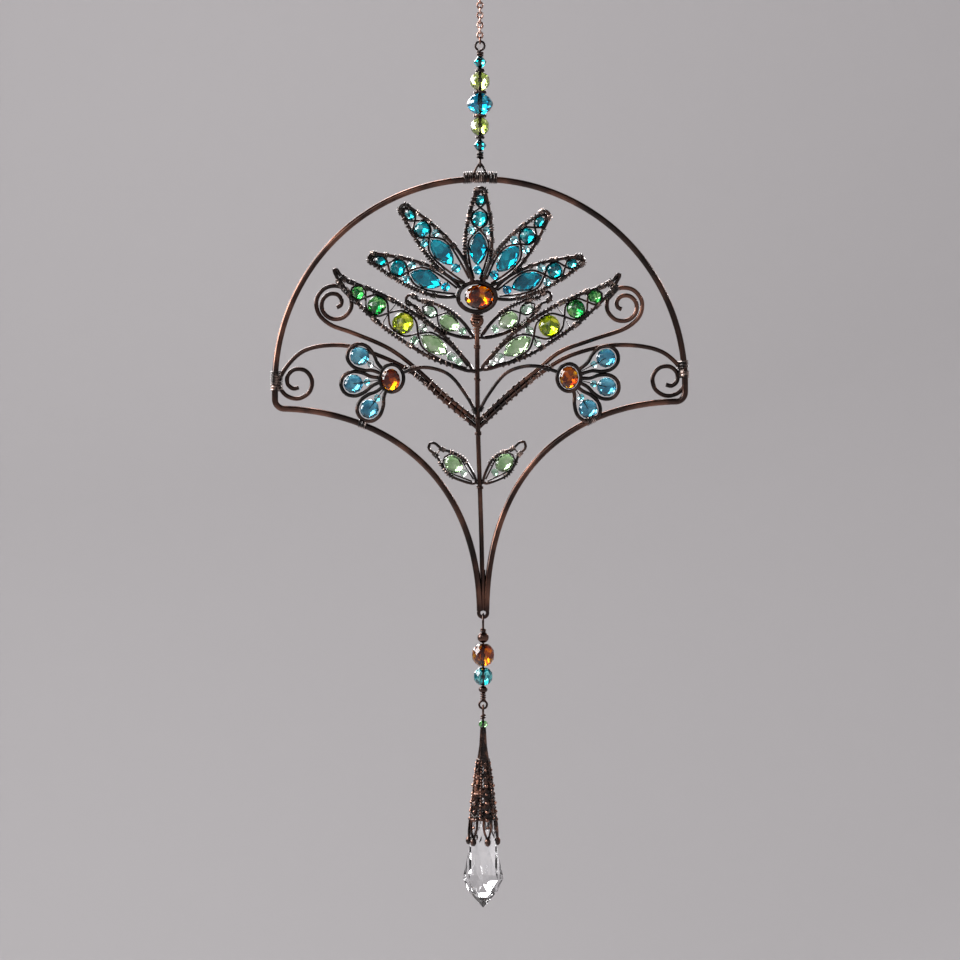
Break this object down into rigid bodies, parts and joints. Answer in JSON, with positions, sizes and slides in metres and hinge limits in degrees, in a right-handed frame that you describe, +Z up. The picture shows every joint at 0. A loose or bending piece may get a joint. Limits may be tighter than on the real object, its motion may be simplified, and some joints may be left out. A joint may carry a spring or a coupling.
{
  "type": "crystal suncatcher",
  "caption": "Wire-work suncatcher: a fan-shaped copper frame on a chain, filled with wire petals, leaves and scrolls that hold cut glass, with a crystal drop.",
  "frame": {"origin": "inside top of the ring at the top of the chain, where the suncatcher hangs", "axes": "+Z up along the chain, +X to the right seen from the front, the front faces -Y"},
  "size_m": [0.1333, 0.0132, 0.3078],
  "materials": {
    "antique_copper": "antiqued copper wire, darkened in the crevices, bright where it is rubbed",
    "teal_glass": "transparent cut glass, polished facets",
    "aqua_glass": "transparent cut glass, polished facets",
    "blue_glass": "transparent cut glass, polished facets",
    "sky_glass": "transparent cut glass, polished facets",
    "lime_glass": "transparent cut glass, polished facets",
    "green_glass": "transparent cut glass, polished facets",
    "sage_glass": "transparent cut glass, polished facets",
    "amber_glass": "transparent cut glass, polished facets",
    "clear_crystal": "clear cut lead crystal, polished"
  },
  "bodies": {
    "root": {"amber_drop_bead": "amber_glass", "aqua_rondelle_bead": "aqua_glass", "bead_link_wire": "antique_copper", "bud_leaf_wire": "antique_copper", "centre_bezel": "antique_copper", "centre_stem": "antique_copper", "centre_stone": "amber_glass", "crystal_cap": "antique_copper", "crystal_drop": "clear_crystal", "drop_link_wire": "antique_copper", "frame_bail": "antique_copper", "hanging_chain": "antique_copper", "left_bud_stone": "sage_glass", "left_flower_centre_stone": "amber_glass", "left_flower_stone_1": "sky_glass", "left_flower_stone_2": "sky_glass", "left_flower_stone_3": "sky_glass", "left_flower_wire": "antique_copper", "left_green_stone": "green_glass", "left_leaf_navette": "sage_glass", "left_lime_stone": "lime_glass", "left_long_leaf_wire": "antique_copper", "left_lower_scroll": "antique_copper", "left_sage_stone": "sage_glass", "left_upper_scroll": "antique_copper", "lower_bicone_bead": "teal_glass", "lower_lime_bead": "lime_glass", "outer_frame": "antique_copper", "petal_navette_1": "blue_glass", "petal_navette_2": "blue_glass", "petal_navette_3": "blue_glass", "petal_navette_4": "blue_glass", "petal_navette_5": "blue_glass", "petal_round_1": "teal_glass", "petal_round_2": "teal_glass", "petal_round_3": "teal_glass", "petal_round_4": "teal_glass", "petal_round_5": "teal_glass", "petal_wire_1": "antique_copper", "petal_wire_2": "antique_copper", "petal_wire_3": "antique_copper", "petal_wire_4": "antique_copper", "petal_wire_5": "antique_copper", "right_bud_stone": "sage_glass", "right_flower_centre_stone": "amber_glass", "right_flower_stone_1": "sky_glass", "right_flower_stone_2": "sky_glass", "right_flower_stone_3": "sky_glass", "right_flower_wire": "antique_copper", "right_green_stone": "green_glass", "right_leaf_navette": "sage_glass", "right_lime_stone": "lime_glass", "right_long_leaf_wire": "antique_copper", "right_lower_scroll": "antique_copper", "right_sage_stone": "sage_glass", "right_upper_scroll": "antique_copper", "sage_leaf_wire": "antique_copper", "teal_drop_bead": "teal_glass", "upper_bicone_bead": "teal_glass", "upper_lime_bead": "lime_glass"}
  },
  "joints": []
}
